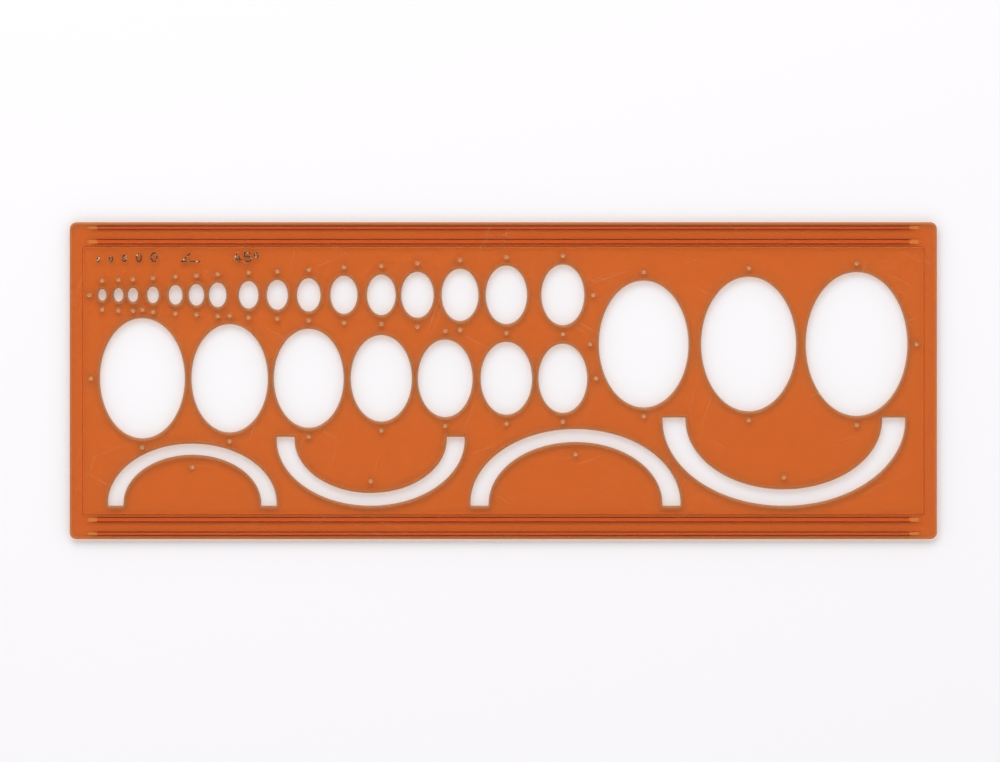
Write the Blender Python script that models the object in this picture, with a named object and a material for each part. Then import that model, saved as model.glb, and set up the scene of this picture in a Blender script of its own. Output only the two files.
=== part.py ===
"""A 45 degree ellipse template for drawing: one moulded transparent plate with elliptical
openings, half-ellipse slots, axis pinholes and ribs underneath, and a legend engraved in its
top face, each sign of which is filled with its own drop of ink.

Sizes are in millimetres and become metres where vertices are made. X runs along the plate,
Y across it towards the legend, Z up. The plate lies on its ribs at Z = 0, centred on the Z axis.
"""

import math

import bmesh
import bpy
from mathutils.geometry import delaunay_2d_cdt

METRES = 0.001  # one millimetre

# The ellipses are circles seen at this angle to their plane, so all have one proportion.
ELLIPSE_ANGLE = 45.0
MINOR_SHARE = math.sin(math.radians(ELLIPSE_ANGLE))

# Major axes of the openings, left to right. They stand upright, across the plate.
UPPER_ROW = (3.4, 4.0, 4.2, 4.9, 5.8, 6.4, 7.3, 8.2, 8.9, 9.9, 11.4, 12.1, 13.7, 15.6, 17.5, 18.2)
MIDDLE_ROW = (36.0, 32.4, 29.6, 25.9, 23.2, 21.8, 20.7)
LARGE_ROW = (38.0, 40.3, 43.1)

# Material left between neighbours in a row.
MIDDLE_WEBS = (2.0, 1.8, 2.15, 1.8, 2.45, 1.9)
LARGE_WEBS = (3.8, 2.9)
ROW_BREAK = 3.5  # between the middle row and the large one

# Upper openings that stand over a middle one share its axis. The openings between two such
# columns share out what room is left in these parts, which are millimetres at the sizes above.
SHARED_COLUMNS = ((9, 2), (11, 3), (14, 5), (15, 6))
UPPER_WEBS = (2.2, 1.4, 2.7, 2.9, 1.9, 1.5, 3.7, 2.5, 2.7, 3.0, 2.9, 1.7, 2.4, 2.2, 4.2)

# Half-ellipse slots, left to right: each arches up from its two ends or hangs down from them.
SLOT_SPANS = (50.6, 56.4, 63.0, 72.8)
SLOT_WIDTHS = (4.65, 5.35, 5.45, 6.9)
SLOT_ARCHES_UP = (True, False, True, False)
SLOT_STEPS = (0.0, 1.75, -5.4)  # along the plate, from one slot's right end to the next one's left
SLOT_LEG = 0.7  # straight run between the half ellipse and the slot's flat end

# Least material between what lies over one another, across the plate.
MIDDLE_OVER_SLOTS = 4.1
LARGE_OVER_SLOTS = 3.45
UPPER_OVER_MIDDLE = 5.1

# Where the openings start and end within the field.
UPPER_START = 4.7
MIDDLE_START = 5.2
SLOT_START = 7.6
FIELD_END_SPACE = 5.0
FIELD_BASE_SPACE = 2.7
FIELD_TOP_SPACE = 5.35

# The plate: a border round a thinner field that is stepped up from the paper.
END_BORDER = 3.8
SIDE_BORDER = 7.3
BORDER_THICKNESS = 1.4
FIELD_STEP = 0.2
PLATE_CORNER_RADIUS = 2.0
FIELD_CORNER_RADIUS = 0.5

# Ribs under the border, two along each long edge, that lift the plate off wet ink.
RIB_HEIGHT = 0.6
RIB_FLANK = 0.35  # plan width of a flank
RIB_CRESTS = (0.6, 0.95)  # flat width of the outer and the inner rib
RIB_OFFSETS = (1.6, 5.8)  # from the plate's long edge to each rib's centre line
RIB_END_SPACE = 4.1
RIB_RAMP = 4.0  # from a rib's tip to its full width
RIB_CREST_INSET = 2.4  # from a rib's tip to the tip of its flat crest

# Pinholes that mark the ellipses' axes: a hole with a conical mouth in the top face.
PINHOLE_DIAMETER = 0.6
PINHOLE_MOUTH = 1.5
PINHOLE_OFFSET = 2.65  # from an opening's edge to the pinhole's centre
SLOT_PINHOLE_OFFSET = 3.65  # from a slot's inner apex to the pinhole's centre
PINHOLE_SIDES = 8

# The engraved legend: signs on one base line, each cut as strokes of one width.
LEGEND_HEIGHT = 3.0
LEGEND_FROM_TOP = 1.7
LEGEND_START = 4.2
LEGEND_STROKE = 0.45
LEGEND_DEPTH = 0.25
INK_THICKNESS = 0.12
INK_CLEARANCE = 0.05
ELLIPSE_SIGNS = (1.6, 1.95, 2.3, 2.65, 3.0)  # heights
ELLIPSE_SIGN_SPACE = 2.55
ANGLE_SIGN_WIDTH = 6.0
ANGLE_SIGN_SPACES = (6.8, 10.0)  # before and after it
FIGURE_WIDTH = 2.4
FIGURE_SPACE = 0.6
DEGREE_DIAMETER = 1.6

CHORD_ERROR = 0.03  # how far a straight side may lie inside the curve it stands for

PLATE_COLOUR = (0.631, 0.133, 0.024, 1.0)
INK_COLOUR = (0.075, 0.055, 0.025, 1.0)


# Outlines: lists of (x, y) points that close on themselves.


def sides_of(radius):
    """Sides of a full turn of this radius, a multiple of four."""
    turn = math.pi / math.acos(1 - CHORD_ERROR / radius)
    return 4 * math.ceil(turn / 4)


def arc(centre, radii, start, end, sides):
    """Points of an elliptical arc between two angles, both ends included."""
    angles = [start + (end - start) * i / sides for i in range(sides + 1)]
    return [(centre[0] + radii[0] * math.cos(a), centre[1] + radii[1] * math.sin(a)) for a in angles]


def ellipse(centre, radii, sides=None):
    return arc(centre, radii, 0, 2 * math.pi, sides or sides_of(max(radii)))[:-1]


def rounded_rectangle(centre, size, radius):
    outline = []
    for turn, (across, up) in enumerate(((1, 1), (-1, 1), (-1, -1), (1, -1))):
        corner = (
            centre[0] + across * (size[0] / 2 - radius),
            centre[1] + up * (size[1] / 2 - radius),
        )
        start = turn * math.pi / 2
        outline += arc(corner, (radius, radius), start, start + math.pi / 2, sides_of(radius) // 4)
    return outline


def opening_outline(opening):
    x, y, major = opening
    return ellipse((x, y), (major * MINOR_SHARE / 2, major / 2))


def slot_outline(slot):
    """Two half ellipses with one centre, joined by the slot's flat ends."""
    x, y, span, width, arches_up = slot
    side = 1 if arches_up else -1
    outer = span / 2
    inner = outer - width
    foot = -side * SLOT_LEG
    rim = arc((0, 0), (outer, side * outer * MINOR_SHARE), 0, math.pi, sides_of(outer) // 2)
    core = arc((0, 0), (inner, side * inner * MINOR_SHARE), math.pi, 0, sides_of(inner) // 2)
    outline = rim + [(-outer, foot), (-inner, foot)] + core + [(inner, foot), (outer, foot)]
    return [(x + px, y + py) for px, py in outline]


def stroke_outline(points, width, trim):
    """A line of this width along open points, with mitred bends and trimmed square ends."""
    head = unit(points[0], points[1])
    tail = unit(points[-1], points[-2])
    first = (points[0][0] + head[0] * trim, points[0][1] + head[1] * trim)
    last = (points[-1][0] + tail[0] * trim, points[-1][1] + tail[1] * trim)
    points = [first] + points[1:-1] + [last]
    sides = []
    for side in (-1, 1):
        run = []
        for i, point in enumerate(points):
            before = points[max(i - 1, 0)]
            after = points[min(i + 1, len(points) - 1)]
            into = unit(before, point) if i > 0 else unit(point, after)
            out = unit(point, after) if i < len(points) - 1 else into
            normal = (-(into[1] + out[1]), into[0] + out[0])
            mitre = 1 + into[0] * out[0] + into[1] * out[1]
            reach = side * width / 2 / mitre
            run.append((point[0] + normal[0] * reach, point[1] + normal[1] * reach))
        sides.append(run)
    return sides[0] + sides[1][::-1]


def unit(start, end):
    length = math.dist(start, end)
    return ((end[0] - start[0]) / length, (end[1] - start[1]) / length)


# Layout, with the plate's lower left corner at (0, 0).


def place_row(sizes, webs, start):
    """Centres of openings that follow each other from a starting edge, with webs between."""
    centres = []
    edge = start
    for size, web in zip(sizes, webs + (0.0,)):
        width = size * MINOR_SHARE
        centres.append(edge + width / 2)
        edge += width + web
    return centres


def place_upper_row(middle_centres, start):
    """Upper centres: shared columns first, then the others spread between them."""
    widths = [size * MINOR_SHARE for size in UPPER_ROW]
    columns = {upper: middle_centres[middle] for upper, middle in SHARED_COLUMNS}
    centres = []
    edge = start
    first = 0
    for column, centre in sorted(columns.items()):
        room = centre - widths[column] / 2 - edge
        webs = UPPER_WEBS[max(first - 1, 0) : column]
        stretch = (room - sum(widths[first:column])) / sum(webs)
        if first > 0:
            edge += webs[0] * stretch
            webs = webs[1:]
        for index, web in zip(range(first, column), webs):
            centres.append(edge + widths[index] / 2)
            edge += widths[index] + web * stretch
        centres.append(centre)
        edge = centre + widths[column] / 2
        first = column + 1
    return centres


def level_at(outline, x, pick):
    """The highest (max) or lowest (min) level at which an outline crosses this x, or None."""
    levels = []
    for (x0, y0), (x1, y1) in zip(outline, outline[1:] + outline[:1]):
        if min(x0, x1) <= x <= max(x0, x1) and x0 != x1:
            levels.append(y0 + (y1 - y0) * (x - x0) / (x1 - x0))
    return pick(levels) if levels else None


def rise_to_clear(upper, lower, web):
    """How far up the upper outlines have to move to leave this web over the lower ones."""
    rise = -math.inf
    for above in upper:
        for below in lower:
            for x in [point[0] for point in above + below]:
                top = level_at(below, x, max)
                bottom = level_at(above, x, min)
                if top is not None and bottom is not None:
                    rise = max(rise, top + web - bottom)
    return rise


def place_slots():
    """Slots as (x, y, span, width, arches_up), all standing on one base line."""
    base = SIDE_BORDER + FIELD_BASE_SPACE
    slots = []
    edge = END_BORDER + SLOT_START
    rows = zip(SLOT_SPANS, SLOT_WIDTHS, SLOT_ARCHES_UP, SLOT_STEPS + (0.0,))
    for span, width, arches_up, step in rows:
        y = base + (SLOT_LEG if arches_up else span / 2 * MINOR_SHARE)
        slots.append((edge + span / 2, y, span, width, arches_up))
        edge += span + step
    return slots


def place_openings():
    """The slots and the three rows, each settled on what lies below it."""
    slots = place_slots()
    slot_outlines = [slot_outline(slot) for slot in slots]

    middle_x = place_row(MIDDLE_ROW, MIDDLE_WEBS, END_BORDER + MIDDLE_START)
    row_end = middle_x[-1] + MIDDLE_ROW[-1] * MINOR_SHARE / 2
    large_x = place_row(LARGE_ROW, LARGE_WEBS, row_end + ROW_BREAK)
    upper_x = place_upper_row(middle_x, END_BORDER + UPPER_START)

    def settled(centres, sizes, lower, web):
        flat = [(x, 0.0, size) for x, size in zip(centres, sizes)]
        rise = rise_to_clear([opening_outline(o) for o in flat], lower, web)
        return [(x, rise, size) for x, _, size in flat]

    middle = settled(middle_x, MIDDLE_ROW, slot_outlines, MIDDLE_OVER_SLOTS)
    large = settled(large_x, LARGE_ROW, slot_outlines, LARGE_OVER_SLOTS)
    middle_outlines = [opening_outline(o) for o in middle]
    upper = settled(upper_x, UPPER_ROW, middle_outlines, UPPER_OVER_MIDDLE)
    return slots, upper, middle, large


def place_pinholes(slots, upper, middle, large):
    """Pinholes above and below the openings, at the rows' ends and one inside each slot."""
    holes = []
    shared = {middle_index for _, middle_index in SHARED_COLUMNS}
    for x, y, major in upper + large:
        holes.append((x, y + major / 2 + PINHOLE_OFFSET))
        holes.append((x, y - major / 2 - PINHOLE_OFFSET))
    for index, (x, y, major) in enumerate(middle):
        holes.append((x, y - major / 2 - PINHOLE_OFFSET))
        if index not in shared:
            holes.append((x, y + major / 2 + PINHOLE_OFFSET))
    for row in (upper, middle, large):
        for (x, y, major), side in ((row[0], -1), (row[-1], 1)):
            holes.append((x + side * (major * MINOR_SHARE / 2 + PINHOLE_OFFSET), y))
    for x, y, span, width, arches_up in slots:
        height = (span / 2 - width) * MINOR_SHARE - SLOT_PINHOLE_OFFSET
        holes.append((x, y + (height if arches_up else -height)))
    return holes


def place_ribs(length, width):
    """Ribs as (centre x, centre y, length, crest width)."""
    run = length - 2 * RIB_END_SPACE
    ribs = []
    for offset, crest in zip(RIB_OFFSETS, RIB_CRESTS):
        ribs.append((length / 2, offset, run, crest))
        ribs.append((length / 2, width - offset, run, crest))
    return ribs


# The legend: strokes with their lower left corner at (0, 0).


def ellipse_sign(height):
    across = height * MINOR_SHARE
    edge = LEGEND_STROKE / 2
    radii = (across / 2 - edge, height / 2 - edge)
    return {"rings": [((across / 2, height / 2), radii)], "lines": []}


def angle_sign():
    """Two lines that meet at the ellipses' angle."""
    reach = LEGEND_HEIGHT / math.tan(math.radians(ELLIPSE_ANGLE))
    corner = (LEGEND_STROKE, LEGEND_STROKE / 2)
    tip = (corner[0] + reach - LEGEND_STROKE, LEGEND_HEIGHT - LEGEND_STROKE / 2)
    return {"rings": [], "lines": [[tip, corner, (ANGLE_SIGN_WIDTH, LEGEND_STROKE / 2)]]}


def figure_four():
    bar = 0.3 * LEGEND_HEIGHT
    stem = 0.72 * FIGURE_WIDTH
    peak = (0.5 * FIGURE_WIDTH, LEGEND_HEIGHT)
    return {
        "rings": [],
        "lines": [
            [peak, (LEGEND_STROKE / 2, bar), (FIGURE_WIDTH, bar)],
            [(stem, 0.6 * LEGEND_HEIGHT), (stem, 0.0)],
        ],
    }


def figure_five():
    top = LEGEND_HEIGHT - LEGEND_STROKE / 2
    left = LEGEND_STROKE / 2
    shoulder = 0.58 * LEGEND_HEIGHT
    radius = (shoulder - LEGEND_STROKE / 2) / 2
    centre = (FIGURE_WIDTH - LEGEND_STROKE / 2 - radius, LEGEND_STROKE / 2 + radius)
    bowl = arc(centre, (radius, radius), math.pi / 2, -math.pi / 2, sides_of(radius) // 2)
    return {
        "rings": [],
        "lines": [
            [(FIGURE_WIDTH - left, top), (left, top), (left, shoulder)] + bowl + [(0.0, left)],
        ],
    }


def degree_sign():
    radius = (DEGREE_DIAMETER - LEGEND_STROKE) / 2
    centre = (DEGREE_DIAMETER / 2, LEGEND_HEIGHT - DEGREE_DIAMETER / 2)
    return {"rings": [(centre, (radius, radius))], "lines": []}


def place_legend(field_left, field_top):
    """Signs as (name, strokes, x, y), left to right on one base line."""
    base = field_top - LEGEND_FROM_TOP - LEGEND_HEIGHT
    x = field_left + LEGEND_START
    legend = []
    for number, height in enumerate(ELLIPSE_SIGNS, start=1):
        legend.append((f"ink_ellipse_sign_{number}", ellipse_sign(height), x, base))
        x += height * MINOR_SHARE + ELLIPSE_SIGN_SPACE
    x += ANGLE_SIGN_SPACES[0] - ELLIPSE_SIGN_SPACE
    legend.append(("ink_angle_sign", angle_sign(), x, base))
    x += ANGLE_SIGN_WIDTH + ANGLE_SIGN_SPACES[1]
    legend.append(("ink_figure_4", figure_four(), x, base))
    x += FIGURE_WIDTH + FIGURE_SPACE
    legend.append(("ink_figure_5", figure_five(), x, base))
    x += FIGURE_WIDTH + FIGURE_SPACE
    legend.append(("ink_degree_sign", degree_sign(), x, base))
    return legend


def sign_outlines(strokes, width, trim=0.0):
    """The outer and inner outlines of a sign, with strokes of this width and trimmed ends."""
    shapes = []
    for centre, radii in strokes["rings"]:
        outer = ellipse(centre, [r + width / 2 for r in radii])
        inner = ellipse(centre, [r - width / 2 for r in radii], len(outer))
        for i in range(len(outer)):
            j = (i + 1) % len(outer)
            shapes.append([outer[i], outer[j], inner[j], inner[i]])
    for points in strokes["lines"]:
        shapes.append(stroke_outline(points, width, trim))
    return merged_outlines(shapes)


def merged_outlines(shapes):
    """The outer and inner outlines of the union of some overlapping shapes."""
    points = [point for shape in shapes for point in shape]
    faces = []
    first = 0
    for shape in shapes:
        faces.append(list(range(first, first + len(shape))))
        first += len(shape)
    points, _, triangles, _, _, covers = delaunay_2d_cdt(points, [], faces, 1, 1e-5)
    triangles = [triangle for triangle, cover in zip(triangles, covers) if cover]
    onward = {}
    for triangle in triangles:
        for a, b in zip(triangle, triangle[1:] + triangle[:1]):
            onward.setdefault(a, set()).add(b)
    for triangle in triangles:
        for a, b in zip(triangle, triangle[1:] + triangle[:1]):
            if a in onward.get(b, ()):
                onward[b].discard(a)
                onward[a].discard(b)
    outlines = []
    while any(onward.values()):
        start = min(a for a, ends in onward.items() if ends)
        outline = []
        here = start
        while not outline or here != start:
            outline.append(tuple(points[here]))
            here = onward[here].pop()
        outlines.append(outline)
    return outlines


# Meshes.


def ring(bm, outline, z):
    return [bm.verts.new((x * METRES, y * METRES, z * METRES)) for x, y in outline]


def wall(bm, lower, upper):
    for i in range(len(lower)):
        j = (i + 1) % len(lower)
        bm.faces.new((lower[i], lower[j], upper[j], upper[i]))


def level_face(bm, rings):
    """Fills the flat region between an outer ring and the rings inside it."""
    verts = [vert for ring_verts in rings for vert in ring_verts]
    loops = []
    first = 0
    for ring_verts in rings:
        loops.append(list(range(first, first + len(ring_verts))))
        first += len(ring_verts)
    points = [vert.co.xy / METRES for vert in verts]
    _, _, triangles, origins, _, _ = delaunay_2d_cdt(points, [], loops, 2, 1e-6)
    for triangle in triangles:
        bm.faces.new([verts[origins[corner][0]] for corner in triangle])


def material(name, colour, roughness):
    result = bpy.data.materials.new(name)
    result.use_nodes = True
    result.diffuse_color = colour
    shader = result.node_tree.nodes["Principled BSDF"]
    shader.inputs["Base Color"].default_value = colour
    shader.inputs["Roughness"].default_value = roughness
    shader.inputs["Metallic"].default_value = 0.0
    return result


def finished_object(bm, name, location, finish):
    bmesh.ops.recalc_face_normals(bm, faces=bm.faces)
    mesh = bpy.data.meshes.new(name)
    bm.to_mesh(mesh)
    bm.free()
    mesh.materials.append(finish)
    mesh.shade_smooth()
    mesh.set_sharp_from_angle(angle=math.radians(30))
    result = bpy.data.objects.new(name, mesh)
    result.location = location
    bpy.context.collection.objects.link(result)
    return result


def moved(outline, x, y):
    return [(px + x, py + y) for px, py in outline]


def rib_outline(rib, inset, end_inset):
    """A rib's pointed plan, brought in along its flanks and at its ends."""
    x, y, run, crest = rib
    half = crest / 2 + RIB_FLANK - inset
    tip = run / 2 - end_inset
    shoulder = run / 2 - RIB_RAMP
    return [
        (x - tip, y),
        (x - shoulder, y - half),
        (x + shoulder, y - half),
        (x + tip, y),
        (x + shoulder, y + half),
        (x - shoulder, y + half),
    ]


def build_plate(holes, pinholes, legend, size, finish):
    length, width = size
    border_z = RIB_HEIGHT
    field_z = border_z + FIELD_STEP
    top_z = border_z + BORDER_THICKNESS
    centre = (length / 2, width / 2)
    bm = bmesh.new()

    edge = rounded_rectangle(centre, size, PLATE_CORNER_RADIUS)
    field_size = (length - 2 * END_BORDER, width - 2 * SIDE_BORDER)
    field = rounded_rectangle(centre, field_size, FIELD_CORNER_RADIUS)
    top_rings = [ring(bm, edge, top_z)]
    border_rings = [ring(bm, edge, border_z), ring(bm, field, border_z)]
    field_rings = [ring(bm, field, field_z)]
    wall(bm, border_rings[0], top_rings[0])
    wall(bm, border_rings[1], field_rings[0])

    for outline in holes:
        field_rings.append(ring(bm, outline, field_z))
        top_rings.append(ring(bm, outline, top_z))
        wall(bm, field_rings[-1], top_rings[-1])

    for x, y in pinholes:
        bore = ellipse((x, y), (PINHOLE_DIAMETER / 2, PINHOLE_DIAMETER / 2), PINHOLE_SIDES)
        mouth = ellipse((x, y), (PINHOLE_MOUTH / 2, PINHOLE_MOUTH / 2), PINHOLE_SIDES)
        field_rings.append(ring(bm, bore, field_z))
        top_rings.append(ring(bm, mouth, top_z))
        wall(bm, field_rings[-1], top_rings[-1])

    for _, strokes, x, y in legend:
        pocket_rings = []
        for outline in sign_outlines(strokes, LEGEND_STROKE):
            pocket_rings.append(ring(bm, moved(outline, x, y), top_z - LEGEND_DEPTH))
            top_rings.append(ring(bm, moved(outline, x, y), top_z))
            wall(bm, pocket_rings[-1], top_rings[-1])
        level_face(bm, pocket_rings)

    for rib in place_ribs(length, width):
        border_rings.append(ring(bm, rib_outline(rib, 0.0, 0.0), border_z))
        crest = ring(bm, rib_outline(rib, RIB_FLANK, RIB_CREST_INSET), 0.0)
        wall(bm, crest, border_rings[-1])
        level_face(bm, [crest])

    level_face(bm, top_rings)
    level_face(bm, border_rings)
    level_face(bm, field_rings)
    bmesh.ops.translate(bm, verts=bm.verts, vec=(-length / 2 * METRES, -width / 2 * METRES, 0))
    finished_object(bm, "template_plate", (0, 0, 0), finish)


def build_ink(sign, size, finish):
    """Ink in one sign's engraving, clear of the engraving's floor and sides."""
    name, strokes, x, y = sign
    floor = RIB_HEIGHT + BORDER_THICKNESS - LEGEND_DEPTH + INK_CLEARANCE
    bm = bmesh.new()
    low_rings = []
    high_rings = []
    for outline in sign_outlines(strokes, LEGEND_STROKE - 2 * INK_CLEARANCE, INK_CLEARANCE):
        low_rings.append(ring(bm, outline, 0.0))
        high_rings.append(ring(bm, outline, INK_THICKNESS))
        wall(bm, low_rings[-1], high_rings[-1])
    level_face(bm, low_rings)
    level_face(bm, high_rings)
    location = (x - size[0] / 2, y - size[1] / 2, floor)
    finished_object(bm, name, [value * METRES for value in location], finish)


def main():
    for old in list(bpy.data.objects):
        bpy.data.objects.remove(old, do_unlink=True)

    slots, upper, middle, large = place_openings()
    holes = [slot_outline(slot) for slot in slots]
    holes += [opening_outline(opening) for opening in upper + middle + large]
    right = max(x for outline in holes for x, _ in outline)
    top = max(y for outline in holes for _, y in outline)
    size = (right + FIELD_END_SPACE + END_BORDER, top + FIELD_TOP_SPACE + SIDE_BORDER)
    pinholes = place_pinholes(slots, upper, middle, large)
    legend = place_legend(END_BORDER, size[1] - SIDE_BORDER)

    build_plate(holes, pinholes, legend, size, material("orange_plate", PLATE_COLOUR, 0.15))
    ink = material("legend_ink", INK_COLOUR, 0.6)
    for sign in legend:
        build_ink(sign, size, ink)


main()
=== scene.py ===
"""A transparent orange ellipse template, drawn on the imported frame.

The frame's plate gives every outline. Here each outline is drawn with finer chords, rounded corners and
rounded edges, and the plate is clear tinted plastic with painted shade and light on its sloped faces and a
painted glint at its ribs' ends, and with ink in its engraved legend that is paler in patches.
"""
import math

import bmesh
import bpy
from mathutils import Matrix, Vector
from mathutils.geometry import delaunay_2d_cdt


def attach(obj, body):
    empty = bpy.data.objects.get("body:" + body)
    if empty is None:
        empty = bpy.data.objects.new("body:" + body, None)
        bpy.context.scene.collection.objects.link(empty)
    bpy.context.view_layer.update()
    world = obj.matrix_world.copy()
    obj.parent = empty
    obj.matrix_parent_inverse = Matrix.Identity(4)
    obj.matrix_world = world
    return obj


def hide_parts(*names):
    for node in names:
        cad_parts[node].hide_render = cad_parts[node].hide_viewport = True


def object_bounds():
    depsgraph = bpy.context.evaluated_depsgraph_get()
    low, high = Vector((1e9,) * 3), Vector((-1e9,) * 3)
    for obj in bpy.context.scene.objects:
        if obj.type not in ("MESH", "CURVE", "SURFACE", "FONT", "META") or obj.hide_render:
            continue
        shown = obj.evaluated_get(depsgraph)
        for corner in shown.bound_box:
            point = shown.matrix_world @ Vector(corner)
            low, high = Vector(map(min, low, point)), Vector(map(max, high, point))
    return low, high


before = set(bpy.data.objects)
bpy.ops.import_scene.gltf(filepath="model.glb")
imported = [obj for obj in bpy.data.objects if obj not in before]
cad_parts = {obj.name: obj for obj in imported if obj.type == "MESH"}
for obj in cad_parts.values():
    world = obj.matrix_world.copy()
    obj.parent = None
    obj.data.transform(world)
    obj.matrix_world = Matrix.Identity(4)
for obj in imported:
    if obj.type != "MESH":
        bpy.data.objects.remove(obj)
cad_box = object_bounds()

MM = 0.001

# Reading the frame
WELD = 0.002 * MM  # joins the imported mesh's split corners
PACKED_LEVEL = 0.99  # height of a unit normal from which a packed face is level
SAME_PLACE = 0.06 * MM  # two outlines with centres this close belong to one feature
CORNER_TURN = math.radians(32)  # an outline that turns more than this has a corner there
FINE_TURN = math.radians(3.0)  # the most that a fine outline turns at a point
STRAIGHT_RATIO = 3.0  # a chord this many times as long as its neighbours is a straight side
RING_RATIO = 1.05  # an engraved ring's outer outline has over this many times its inner one's area
OPENING_SHARE = 0.5  # an opening's underside has over this share of its mouth's area, a pinhole's less
FULL_WIDTH = 0.03 * MM  # a rib's crest has its full width where its edge is this near to its widest

# Redrawing outlines
CORNER_REACH = 0.45  # share of a side that a rounded corner may take
ARC_TURN = math.radians(18)  # the most that a rounded corner turns at a point
ARC_STEPS = 3  # the fewest chords in a rounded corner
MITRE_LIMIT = 2.0  # a sharp corner moves at most this many times as far as its sides

# Edges of the moulding: how far each rounding reaches from its corner
MOUTH_DRAFT = 0.35 * MM  # how much wider an opening is at the top than underneath, all round
MOUTH_ROUND = 0.3 * MM
UNDER_ROUND = 0.07 * MM
RIM_ROUND = 0.3 * MM
STEP_ROUND = 0.12 * MM
STEP_RUN = 0.3 * MM  # plan width of the slope between the border's and the field's underside
POCKET_ROUND = 0.03 * MM
ROUND_STEPS = 4  # chords in each rounding
SLOT_CORNER = 0.3 * MM
PINHOLE_SIDES = 28
PINHOLE_ROUND = 0.1 * MM
PINHOLE_THROAT = 0.55  # share of the depth that is a straight bore
RIB_ROUND = 0.08 * MM
INK_ROUND = 0.03 * MM
# A rib's flank, as shares of the way out from its crest and of the way up to the border's underside
RIB_FLANK = ((0.0, 0.0), (0.05, 0.02), (0.14, 0.09), (0.86, 0.91), (0.95, 0.98), (1.0, 1.0))

# Filling level faces
DRAWN_LEVEL = 0.999  # height of a unit normal from which a drawn face is level
INSIDE_WITH_HOLES = 2  # the kind of triangulation that leaves the holes open
FILL_TOLERANCE = 1e-9

# Plastic: level faces are polished and clear, and sloped ones are rougher and partly opaque, coloured with
# painted shade and light that stand in for how light bends at the plate's edges
TINT = (0.85, 0.47, 0.19, 1)
WALL_PAINTED_SHADE = (0.38, 0.16, 0.065, 1)  # painted shade on an opening's wall
CONE_PAINTED_LIGHT = (0.72, 0.38, 0.17, 1)  # a lighter painted ring on a pinhole's conical mouth
EDGE_PAINTED_SHADE = (0.38, 0.09, 0.012, 1)  # painted shade on the rounded edge at a mouth
FLANK_PAINTED_SHADE = (0.3, 0.075, 0.035, 1)  # painted shade on the slopes underneath, the ribs' dark lines
GLINT_COLOUR = (1.0, 1.0, 0.7, 1)  # the ribs' tapered ends
DUST_COLOUR = (0.9, 0.82, 0.72, 1)
SATIN_CLEARNESS = 0.14  # share of the light that a sloped face lets through; the rest shows its painted shade or light
SATIN_ROUGHNESS = 0.5
LEVEL_NORMAL = 0.996  # height of a unit normal where a face counts as level
STEEP_ABOVE = 0.95  # where it is fully rough and painted, from the field's underside up
STEEP_BELOW = 0.6  # and on the slopes underneath
STEEP_RISE = 0.05 * MM  # how far up the one gives way to the other
CONE_SLOPE = (0.4, 0.6)  # the same height where a wall starts and ends becoming a cone
EDGE_DEPTH = (0.17 * MM, 0.09 * MM)  # how far under the top the edge's painted shade starts and is full
FLANK_DEPTH = 0.02 * MM  # how far under the field's underside the flanks' painted shade is full
GLINT_DEPTH = (0.14 * MM, 0.24 * MM)  # how far under the border's underside a glint starts and is full
GLINT_RUN = 0.2 * MM  # how far along a rib a glint sets in, to each side of the end of its crest
ABSORPTION_COLOUR = (0.985, 0.56, 0.2, 1)
ABSORPTION_DENSITY = 400.0
PLASTIC_IOR = 1.49
HAIRLINE_ANGLES = (0.35, -0.5, 1.25)  # radians from the plate's long side
HAIRLINE_SIZE = (26 * MM, 0.2 * MM, 1.0)  # along and across the grain that hairlines are picked from
HAIRLINE_GRAIN = (0.8, 0.86)  # where in the grain a hairline starts and is full
HAIRLINE_STRENGTH = 0.3
HAIRLINE_RELIEF = 0.15
HAIRLINE_DEPTH = 0.01 * MM
DUST_SCALE = 260.0  # cells per metre
DUST_SHARE = 0.035  # share of the cells with a speck in them
SPECK_RADIUS = (0.07, 0.04)  # where a speck ends and where it is full, in cells
MARKED_CLEARNESS = 0.3  # share of the light that a speck lets through
SMEAR_SCALE = 40.0
SMEAR_DETAIL = 3.0
SMEAR_GRAIN = (0.35, 0.75)  # where in the noise a smear starts and is full
SMEAR_ROUGHNESS = (0.015, 0.09)  # of the polished face and of a full smear

# Ink
INK_COLOUR = (0.04, 0.032, 0.012, 1)
# Paler patches in the ink, placed by noise
PALE_PATCH_COLOUR = (0.74, 0.66, 0.44, 1)
PATCH_SCALE = 1100.0
PATCH_GRAIN = (0.56, 0.64)  # where in the noise a pale patch starts and is full
CRUMB_SCALE = 6 * PATCH_SCALE
CRUMB_GRAIN = (0.3, 0.7)
CRUMB_RELIEF = 0.6
CRUMB_DEPTH = 0.03 * MM
INK_DETAIL = 2.0
INK_ROUGHNESS = (0.45, 0.9)  # over the range of the crumbs' grain

# View and light
CAMERA_HEIGHT = 2.4
CAMERA_OFFSET = (-1.0 * MM, -0.1 * MM)
FRAME_WIDTH = 300.1 * MM  # what the picture shows of the table from side to side
SENSOR = 36.0
VIEW_DEPTH = 10.0
PAPER_COLOUR = (0.925, 0.91, 0.93, 1)
PAPER_ROUGHNESS = 0.9
FLOOR_SIZE = 3.0
FLOOR_DROP = 0.03 * MM  # how far the floor is under the plate's ribs
SKY_STRENGTH = 0.985
ZENITH_STRENGTH = 0.3
SKY_FADE = (0.75, 0.97)  # how high the sky starts to dim and is dimmest
KEY_ENERGY = 7.7
KEY_PLACE = (-0.2, 0.95, 1.0)
KEY_SIZE = (1.2, 0.9)


# ---------------------------------------------------------------- outlines


def area_of(points):
    """Signed area inside a closed outline, positive where it runs anticlockwise."""
    total = 0.0
    for (ax, ay), (bx, by) in zip(points, points[1:] + points[:1]):
        total += ax * by - bx * ay
    return total / 2


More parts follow.
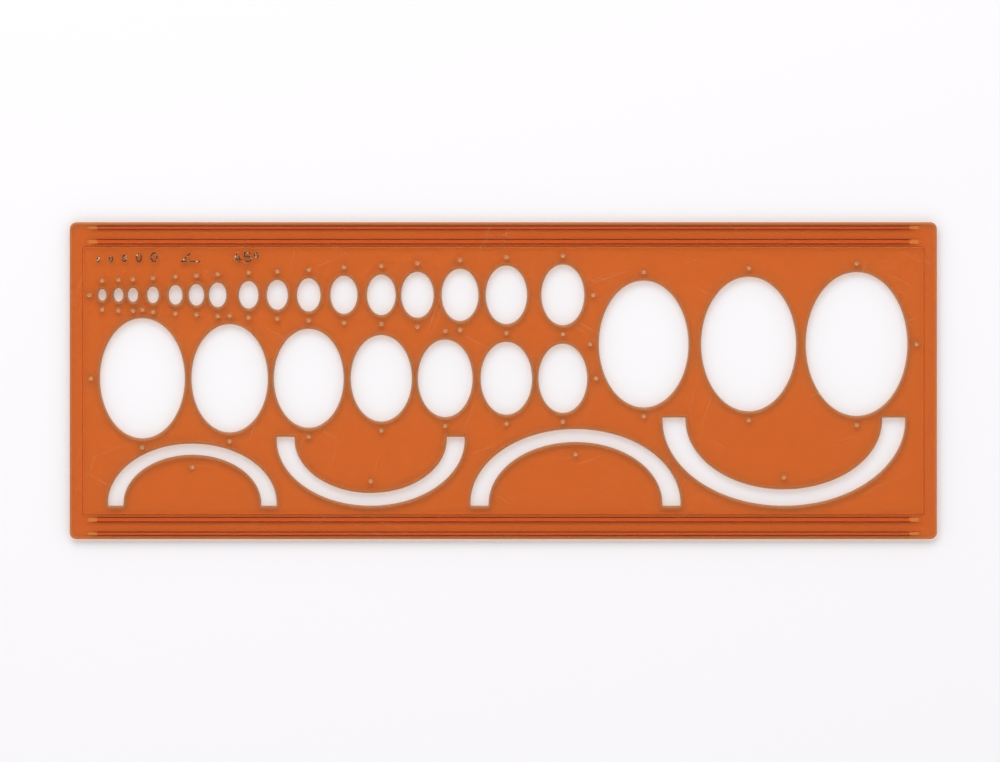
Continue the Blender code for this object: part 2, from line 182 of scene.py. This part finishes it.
def centre_of(points):
    xs = [x for x, _ in points]
    ys = [y for _, y in points]
    return Vector(((min(xs) + max(xs)) / 2, (min(ys) + max(ys)) / 2))


def metres(height):
    """A level's height in metres, from its whole number of micrometres."""
    return height / 1000 * MM


def level_outlines(name):
    """The outlines round a node's level faces, anticlockwise: {height in micrometres: [points]}."""
    bm = bmesh.new()
    bm.from_mesh(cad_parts[name].data)
    bmesh.ops.remove_doubles(bm, verts=bm.verts, dist=WELD)
    bm.normal_update()
    links = {}
    for edge in bm.edges:
        level = [face for face in edge.link_faces if abs(face.normal.z) > PACKED_LEVEL]
        if len(level) == 1:
            a, b = edge.verts
            links.setdefault(a, []).append(b)
            links.setdefault(b, []).append(a)
    outlines = {}
    left = dict(links)
    while left:
        first = next(iter(left))
        loop = [first]
        del left[first]
        following = links[first][0]
        while following in left:
            loop.append(following)
            del left[following]
            ahead = [vert for vert in links[following] if vert in left]
            following = ahead[0] if ahead else first
        points = [(vert.co.x, vert.co.y) for vert in loop]
        if area_of(points) < 0:
            points.reverse()
        height = round(first.co.z / MM * 1000)
        outlines.setdefault(height, []).append(points)
    bm.free()
    return outlines


def partner(points, outlines):
    """The outline that shares this one's centre and is nearest to it in area, or None."""
    centre = centre_of(points)
    near = [other for other in outlines if (centre_of(other) - centre).length < SAME_PLACE]
    if not near:
        return None
    return min(near, key=lambda other: abs(area_of(other) - area_of(points)))


def directions(points):
    """Each chord's length and unit direction, from its point to the next."""
    lengths = []
    units = []
    for (ax, ay), (bx, by) in zip(points, points[1:] + points[:1]):
        chord = Vector((bx - ax, by - ay))
        lengths.append(chord.length)
        units.append(chord.normalized())
    return lengths, units


def turn(before, after):
    """The angle from one direction to the next, positive to the left."""
    return math.atan2(before.x * after.y - before.y * after.x, before.dot(after))


def round_corners(points, radius):
    """The outline with each real corner replaced by a short arc."""
    lengths, units = directions(points)
    rounded = []
    for i, (x, y) in enumerate(points):
        angle = turn(units[i - 1], units[i])
        if abs(angle) < CORNER_TURN:
            rounded.append((x, y))
            continue
        setback = min(radius, CORNER_REACH * lengths[i - 1], CORNER_REACH * lengths[i])
        start = Vector((x, y)) - units[i - 1] * setback
        end = Vector((x, y)) + units[i] * setback
        steps = max(ARC_STEPS, math.ceil(abs(angle) / ARC_TURN))
        for k in range(steps + 1):
            t = k / steps
            point = start * (1 - t) ** 2 + Vector((x, y)) * 2 * t * (1 - t) + end * t * t
            rounded.append((point.x, point.y))
    return rounded


def fine_outline(points):
    """The outline with its curved stretches redrawn by finer chords. Straight sides and corners stay."""
    lengths, units = directions(points)
    count = len(points)
    turns = [turn(units[i - 1], units[i]) for i in range(count)]
    straight = []
    for i in range(count):
        beside = max(lengths[i - 1], lengths[(i + 1) % count])
        straight.append(lengths[i] > STRAIGHT_RATIO * beside)
    leaving = []
    arriving = []
    for i in range(count):
        before, after = units[i - 1], units[i]
        if abs(turns[i]) > CORNER_TURN:
            arriving.append(before)
            leaving.append(after)
            continue
        if straight[i - 1]:
            along = before
        elif straight[i]:
            along = after
        else:
            along = (before * lengths[i] + after * lengths[i - 1]).normalized()
        arriving.append(along)
        leaving.append(along)
    fine = []
    for i in range(count):
        j = (i + 1) % count
        start = Vector(points[i])
        end = Vector(points[j])
        fine.append((start.x, start.y))
        bend = abs(turn(leaving[i], units[i])) + abs(turn(units[i], arriving[j]))
        steps = 1 if straight[i] else max(1, math.ceil(bend / FINE_TURN))
        for k in range(1, steps):
            t = k / steps
            pull = lengths[i]
            point = (
                start * (2 * t**3 - 3 * t**2 + 1)
                + leaving[i] * pull * (t**3 - 2 * t**2 + t)
                + end * (3 * t**2 - 2 * t**3)
                + arriving[j] * pull * (t**3 - t**2)
            )
            fine.append((point.x, point.y))
    return fine


def grown(points, distance):
    """The anticlockwise outline moved outwards by the distance, or inwards where it is negative."""
    _, units = directions(points)
    moved = []
    for i, (x, y) in enumerate(points):
        before, after = units[i - 1], units[i]
        outward = Vector((before.y + after.y, -before.x - after.x)).normalized()
        stretch = max(1 / MITRE_LIMIT, outward.dot(Vector((after.y, -after.x))))
        place = Vector((x, y)) + outward * (distance / stretch)
        moved.append((place.x, place.y))
    return moved


# ---------------------------------------------------------------- walls


def softened(corners, reach):
    """A profile that rounds each inner corner of a broken line and starts and ends where its rounding does.

    A corner is (outward, height), and reach says how far from each inner corner its rounding begins.
    """
    profile = []
    for i, size in enumerate(reach, start=1):
        corner = Vector(corners[i])
        start = corner + (Vector(corners[i - 1]) - corner).normalized() * size
        end = corner + (Vector(corners[i + 1]) - corner).normalized() * size
        for k in range(ROUND_STEPS + 1):
            t = k / ROUND_STEPS
            profile.append(tuple(start * (1 - t) ** 2 + corner * 2 * t * (1 - t) + end * t * t))
    return profile


class Shell:
    """A closed surface made of walls between outlines and of level faces that fill them."""

    def __init__(self):
        self.bm = bmesh.new()
        self.levels = {}

    def ring(self, points, height):
        return [self.bm.verts.new((x, y, height)) for x, y in points]

    def wall(self, outline, profile, low_level, high_level):
        """A wall round an outline, from profile's first point to its last, as (outward, height)."""
        self.skin([(grown(outline, outward), height) for outward, height in profile], low_level, high_level)

    def skin(self, sections, low_level, high_level):
        """Quads between sections that have as many points as each other, as (outline, height)."""
        rings = [self.ring(outline, height) for outline, height in sections]
        for low, high in zip(rings, rings[1:]):
            for i in range(len(low)):
                j = (i + 1) % len(low)
                self.bm.faces.new((low[i], low[j], high[j], high[i]))
        self.levels.setdefault(low_level, []).append(rings[0])
        self.levels.setdefault(high_level, []).append(rings[-1])

    def fill(self):
        """Fills each level between its rings. A point inside an odd number of rings is filled."""
        for rings in self.levels.values():
            verts = [vert for ring in rings for vert in ring]
            points = [Vector((vert.co.x, vert.co.y)) for vert in verts]
            loops = []
            start = 0
            for ring in rings:
                loops.append(list(range(start, start + len(ring))))
                start += len(ring)
            found = delaunay_2d_cdt(points, [], loops, INSIDE_WITH_HOLES, FILL_TOLERANCE)
            origin = [old[0] for old in found[3]]
            for face in found[2]:
                self.bm.faces.new([verts[origin[i]] for i in face])

    def finish(self, name):
        """The mesh, shaded so that level faces stay flat up to their rounded edges."""
        self.fill()
        bmesh.ops.recalc_face_normals(self.bm, faces=self.bm.faces)
        mesh = bpy.data.meshes.new(name)
        self.bm.normal_update()
        normals = []
        for vert in self.bm.verts:
            level = [face.normal for face in vert.link_faces if abs(face.normal.z) > DRAWN_LEVEL]
            normals.append(tuple(level[0] if level else vert.normal))
        self.bm.to_mesh(mesh)
        self.bm.free()
        mesh.polygons.foreach_set("use_smooth", [True] * len(mesh.polygons))
        mesh.normals_split_custom_set_from_vertices(normals)
        return mesh


# ---------------------------------------------------------------- pieces


def plate_mesh(outlines):
    """The moulding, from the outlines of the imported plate's level faces."""
    rest, border, field, pocket, top = sorted(outlines)
    z = {height: metres(height) for height in outlines}
    shell = Shell()

    rim = max(outlines[top], key=area_of)
    side = [(-MM, z[border]), (0, z[border]), (0, z[top]), (-MM, z[top])]
    shell.wall(fine_outline(rim), softened(side, (UNDER_ROUND, RIM_ROUND)), border, top)

    field_edge = max(outlines[field], key=area_of)
    half = STEP_RUN / 2
    slope = [(MM, z[border]), (half, z[border]), (-half, z[field]), (-MM, z[field])]
    edge = fine_outline(round_corners(field_edge, SLOT_CORNER))
    shell.wall(edge, softened(slope, (STEP_ROUND, STEP_ROUND)), border, field)

    for outline in outlines[top]:
        if outline is rim:
            continue
        if partner(outline, outlines[pocket]) is not None:
            way = -1 if inside_another(outline, outlines[pocket]) else 1
            profile = softened(
                [(-MM, z[pocket]), (0, z[pocket]), (0, z[top]), (MM, z[top])], (POCKET_ROUND, POCKET_ROUND)
            )
            profile = [(way * outward, height) for outward, height in profile]
            shell.wall(fine_outline(outline), profile, pocket, top)
            continue
        under = partner(outline, outlines[field])
        if area_of(under) > area_of(outline) * OPENING_SHARE:
            opening(shell, under, field, top, z)
        else:
            pinhole(shell, outline, under, field, top, z)

    feet = [
        outline for outline in outlines[border]
        if partner(outline, outlines[rest]) and area_of(outline) < area_of(field_edge) / 2
    ]
    for crest in outlines[rest]:
        rib(shell, partner(crest, feet), crest, rest, border, z)
    return shell.finish("plate")


def inside_another(outline, outlines):
    """True for the inner outline of an engraved ring."""
    centre = centre_of(outline)
    return any(
        (centre_of(other) - centre).length < SAME_PLACE and area_of(other) > RING_RATIO * area_of(outline)
        for other in outlines
    )


def half_width(outline):
    return max(x for x, _ in outline) - centre_of(outline).x


def opening(shell, under, field, top, z):
    """A tapered opening: its drawn outline underneath, and its wider mouth with a rounded edge."""
    profile = softened(
        [(MM, z[field]), (0, z[field]), (MOUTH_DRAFT, z[top]), (MM, z[top])], (UNDER_ROUND, MOUTH_ROUND)
    )
    shell.wall(fine_outline(round_corners(under, SLOT_CORNER)), profile, field, top)


def pinhole(shell, mouth, bore, field, top, z):
    """A short bore that opens into a conical mouth with a soft lip."""
    centre = centre_of(mouth)
    wide = half_width(mouth)
    narrow = half_width(bore)
    throat = z[field] + (z[top] - z[field]) * PINHOLE_THROAT
    profile = softened(
        [(MM, z[field]), (narrow, z[field]), (narrow, throat), (wide, z[top]), (2 * MM, z[top])],
        (UNDER_ROUND, PINHOLE_ROUND, PINHOLE_ROUND),
    )
    turns = [2 * math.pi * k / PINHOLE_SIDES for k in range(PINHOLE_SIDES)]
    sections = []
    for radius, height in profile:
        circle = [(centre.x + radius * math.cos(a), centre.y + radius * math.sin(a)) for a in turns]
        sections.append((circle, height))
    shell.skin(sections, field, top)


def corners_of(xs, ys):
    """The anticlockwise corners of the level rectangle that bounds some coordinates."""
    return [(min(xs), min(ys)), (max(xs), min(ys)), (max(xs), max(ys)), (min(xs), max(ys))]


def rib_crest(crest):
    """The level top of a rib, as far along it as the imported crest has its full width."""
    edge = max(y for _, y in crest)
    full = [x for x, y in crest if edge - y < FULL_WIDTH]
    return corners_of(full, [y for _, y in crest])


def rib(shell, foot, crest, rest, border, z):
    """A rib that ramps up to its crest at both ends, with soft edges at its crest and at its foot."""
    foot = round_corners(corners_of([x for x, _ in foot], [y for _, y in foot]), RIB_ROUND)
    crest = round_corners(rib_crest(crest), RIB_ROUND)
    sections = []
    for along, up in RIB_FLANK:
        outline = [
            (cx + (fx - cx) * along, cy + (fy - cy) * along)
            for (cx, cy), (fx, fy) in zip(crest, foot)
        ]
        sections.append((outline, z[rest] + (z[border] - z[rest]) * up))
    shell.skin(sections, rest, border)


def ink_mesh(name):
    """Dried ink in one engraved sign, with rounded edges."""
    outlines = level_outlines(name)
    low, high = sorted(outlines)
    z = {height: metres(height) for height in (low, high)}
    inwards = INK_ROUND * 2
    shell = Shell()
    for outline in outlines[high]:
        way = -1 if inside_another(outline, outlines[high]) else 1
        profile = softened(
            [(-inwards, z[low]), (0, z[low]), (0, z[high]), (-inwards, z[high])], (INK_ROUND, INK_ROUND)
        )
        profile = [(way * outward, height) for outward, height in profile]
        shell.wall(fine_outline(outline), profile, low, high)
    return shell.finish(name.replace("ink_", "sign_"))


# ---------------------------------------------------------------- materials


def new_material(name):
    material = bpy.data.materials.new(name)
    material.use_nodes = True
    material.node_tree.nodes.clear()
    return material, material.node_tree


def put(tree, socket, value):
    """Links a socket to another node's output, or sets it to a constant."""
    if isinstance(value, bpy.types.NodeSocket):
        tree.links.new(value, socket)
    else:
        socket.default_value = value


def add(tree, kind, **values):
    """A node with its inputs set by name."""
    node = tree.nodes.new(kind)
    for key, value in values.items():
        put(tree, node.inputs[key.replace("_", " ")], value)
    return node


def compute(tree, operation, *values):
    """A math node's result."""
    node = tree.nodes.new("ShaderNodeMath")
    node.operation = operation
    for socket, value in zip(node.inputs, values):
        put(tree, socket, value)
    return node.outputs["Value"]


def share(tree, value, start, end, low=0.0, high=1.0):
    """Low where the value is at start or before it, high from end on, and straight in between."""
    return add(
        tree, "ShaderNodeMapRange", Value=value, From_Min=start, From_Max=end, To_Min=low, To_Max=high
    ).outputs["Result"]


def blend(tree, amount, under, over):
    """The colour under, with this share of the colour over."""
    node = tree.nodes.new("ShaderNodeMix")
    node.data_type = "RGBA"
    for index, value in ((0, amount), (6, under), (7, over)):
        put(tree, node.inputs[index], value)
    return node.outputs[2]


def hairlines(tree, place):
    """Fine straight scratches in a few directions: 1 on a scratch and 0 elsewhere."""
    total = 0.0
    for angle in HAIRLINE_ANGLES:
        turned = add(tree, "ShaderNodeMapping", Vector=place, Rotation=(0, 0, angle), Scale=HAIRLINE_SIZE)
        turned.vector_type = "TEXTURE"
        grain = add(tree, "ShaderNodeTexNoise", Vector=turned.outputs["Vector"], Scale=1.0, Detail=0.0)
        total = compute(tree, "MAXIMUM", share(tree, grain.outputs["Fac"], *HAIRLINE_GRAIN), total)
    return total


def dust(tree, place):
    """Scattered specks: 1 on a speck and 0 elsewhere."""
    cells = add(tree, "ShaderNodeTexVoronoi", Vector=place, Scale=DUST_SCALE)
    near = share(tree, cells.outputs["Distance"], *SPECK_RADIUS)
    chosen = compute(tree, "LESS_THAN", cells.outputs["Color"], DUST_SHARE)
    return compute(tree, "MULTIPLY", near, chosen)


def plastic(outlines):
    """Clear tinted plastic that follows the heights of the plate's level faces, with painted shade and
    light on its sloped faces and a painted glint at the ribs' ends.
    """
    _, border, field, _, top = [metres(height) for height in sorted(outlines)]
    rib_end = max(x for x, _ in rib_crest(outlines[min(outlines)][0]))
    material, tree = new_material("orange_plastic")
    place = add(tree, "ShaderNodeTexCoord").outputs["Object"]
    along, _, height = add(tree, "ShaderNodeSeparateXYZ", Vector=place).outputs
    normal = add(tree, "ShaderNodeNewGeometry").outputs["Normal"]
    facing = add(tree, "ShaderNodeSeparateXYZ", Vector=normal).outputs["Z"]
    steep = share(tree, height, field, field + STEEP_RISE, STEEP_BELOW, STEEP_ABOVE)
    level = compute(tree, "ABSOLUTE", facing)
    sloped = share(tree, level, LEVEL_NORMAL, steep)

    # Painted shade on the sloped faces: dark opening walls, mouth edges and rib flanks, with a lighter
    # painted ring on each pinhole's cone
    near_top = share(tree, height, top - EDGE_DEPTH[0], top - EDGE_DEPTH[1])
    painted_light_and_shade = blend(tree, share(tree, level, *CONE_SLOPE), WALL_PAINTED_SHADE, CONE_PAINTED_LIGHT)
    painted_light_and_shade = blend(tree, near_top, painted_light_and_shade, EDGE_PAINTED_SHADE)
    painted_light_and_shade = blend(tree, share(tree, height, field, field - FLANK_DEPTH), painted_light_and_shade, FLANK_PAINTED_SHADE)
    past_crest = share(tree, compute(tree, "ABSOLUTE", along), rib_end - GLINT_RUN, rib_end + GLINT_RUN)
    on_rib = share(tree, height, border - GLINT_DEPTH[0], border - GLINT_DEPTH[1])
    glint = compute(tree, "MULTIPLY", past_crest, on_rib)
    colour = blend(tree, glint, blend(tree, sloped, TINT, painted_light_and_shade), GLINT_COLOUR)

    scratched = hairlines(tree, place)
    dusty = dust(tree, place)
    smear = add(tree, "ShaderNodeTexNoise", Vector=place, Scale=SMEAR_SCALE, Detail=SMEAR_DETAIL)
    marked = compute(tree, "MAXIMUM", compute(tree, "MULTIPLY", scratched, HAIRLINE_STRENGTH), dusty)
    colour = blend(tree, marked, colour, DUST_COLOUR)
    clear = compute(tree, "SUBTRACT", 1.0, compute(tree, "MULTIPLY", sloped, 1 - SATIN_CLEARNESS))
    clear = compute(tree, "MULTIPLY", clear, share(tree, marked, 0.0, 1.0, 1.0, MARKED_CLEARNESS))
    roughness = share(tree, smear.outputs["Fac"], *SMEAR_GRAIN, *SMEAR_ROUGHNESS)
    roughness = compute(tree, "ADD", roughness, compute(tree, "MULTIPLY", sloped, SATIN_ROUGHNESS))
    relief = add(
        tree, "ShaderNodeBump", Strength=HAIRLINE_RELIEF, Distance=HAIRLINE_DEPTH, Height=scratched,
    )

    shader = add(
        tree, "ShaderNodeBsdfPrincipled", Base_Color=colour, Roughness=roughness, IOR=PLASTIC_IOR,
        Transmission_Weight=clear, Normal=relief.outputs["Normal"],
    )
    absorption = add(
        tree, "ShaderNodeVolumeAbsorption", Color=ABSORPTION_COLOUR, Density=ABSORPTION_DENSITY,
    )
    output = add(tree, "ShaderNodeOutputMaterial")
    tree.links.new(shader.outputs["BSDF"], output.inputs["Surface"])
    tree.links.new(absorption.outputs["Volume"], output.inputs["Volume"])
    return material


def ink():
    """Dried ink that is paler in patches placed by noise."""
    material, tree = new_material("patchy_ink")
    place = add(tree, "ShaderNodeTexCoord").outputs["Object"]
    patches = add(tree, "ShaderNodeTexNoise", Vector=place, Scale=PATCH_SCALE, Detail=INK_DETAIL)
    paler = share(tree, patches.outputs["Fac"], *PATCH_GRAIN)
    crumbs = add(tree, "ShaderNodeTexNoise", Vector=place, Scale=CRUMB_SCALE, Detail=INK_DETAIL)
    crumbs = crumbs.outputs["Fac"]
    relief = add(tree, "ShaderNodeBump", Strength=CRUMB_RELIEF, Distance=CRUMB_DEPTH, Height=crumbs)
    shader = add(
        tree, "ShaderNodeBsdfPrincipled",
        Base_Color=blend(tree, paler, INK_COLOUR, PALE_PATCH_COLOUR),
        Roughness=share(tree, crumbs, *CRUMB_GRAIN, *INK_ROUGHNESS), Normal=relief.outputs["Normal"],
    )
    output = add(tree, "ShaderNodeOutputMaterial")
    tree.links.new(shader.outputs["BSDF"], output.inputs["Surface"])
    return material


def paper():
    material, tree = new_material("pale_floor")
    shader = add(tree, "ShaderNodeBsdfPrincipled", Base_Color=PAPER_COLOUR, Roughness=PAPER_ROUGHNESS)
    output = add(tree, "ShaderNodeOutputMaterial")
    tree.links.new(shader.outputs["BSDF"], output.inputs["Surface"])
    return material


# ---------------------------------------------------------------- stage


def place_floor():
    bm = bmesh.new()
    bmesh.ops.create_grid(bm, x_segments=1, y_segments=1, size=FLOOR_SIZE)
    mesh = bpy.data.meshes.new("floor")
    bm.to_mesh(mesh)
    bm.free()
    floor = bpy.data.objects.new("floor", mesh)
    floor.location.z = cad_box[0][2] - FLOOR_DROP
    floor.data.materials.append(paper())
    bpy.context.scene.collection.objects.link(floor)


def place_camera():
    data = bpy.data.cameras.new("camera")
    data.sensor_width = SENSOR
    data.lens = SENSOR * CAMERA_HEIGHT / FRAME_WIDTH
    data.clip_end = VIEW_DEPTH
    camera = bpy.data.objects.new("camera", data)
    camera.location = (*CAMERA_OFFSET, CAMERA_HEIGHT)
    bpy.context.scene.collection.objects.link(camera)
    bpy.context.scene.camera = camera


def place_lights():
    world = bpy.data.worlds.new("studio")
    world.use_nodes = True
    tree = world.node_tree
    place = add(tree, "ShaderNodeTexCoord")
    split = add(tree, "ShaderNodeSeparateXYZ", Vector=place.outputs["Generated"])
    background = tree.nodes["Background"]
    background.inputs["Color"].default_value = (1, 1, 1, 1)
    strength = share(tree, split.outputs["Z"], *SKY_FADE, SKY_STRENGTH, ZENITH_STRENGTH)
    put(tree, background.inputs["Strength"], strength)
    bpy.context.scene.world = world

    data = bpy.data.lights.new("key", "AREA")
    data.shape = "RECTANGLE"
    data.size, data.size_y = KEY_SIZE
    data.energy = KEY_ENERGY
    key = bpy.data.objects.new("key", data)
    key.location = KEY_PLACE
    key.rotation_euler = (-Vector(KEY_PLACE)).to_track_quat("-Z", "Y").to_euler()
    bpy.context.scene.collection.objects.link(key)

    bpy.context.scene.view_settings.view_transform = "Standard"
    bpy.context.scene.cycles.blur_glossy = 0.0  # light through the plate stays as sharp as it is


def main():
    outlines = level_outlines("template_plate")
    plate = bpy.data.objects.new("plate", plate_mesh(outlines))
    plate.data.materials.append(plastic(outlines))
    bpy.context.scene.collection.objects.link(plate)
    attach(plate, "root")
    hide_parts("template_plate")
    legend_ink = ink()
    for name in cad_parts:
        if name != "template_plate":
            sign = bpy.data.objects.new(name.replace("ink_", "sign_"), ink_mesh(name))
            sign.data.materials.append(legend_ink)
            bpy.context.scene.collection.objects.link(sign)
            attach(sign, "root")
            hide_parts(name)
    place_floor()
    place_camera()
    place_lights()


main()
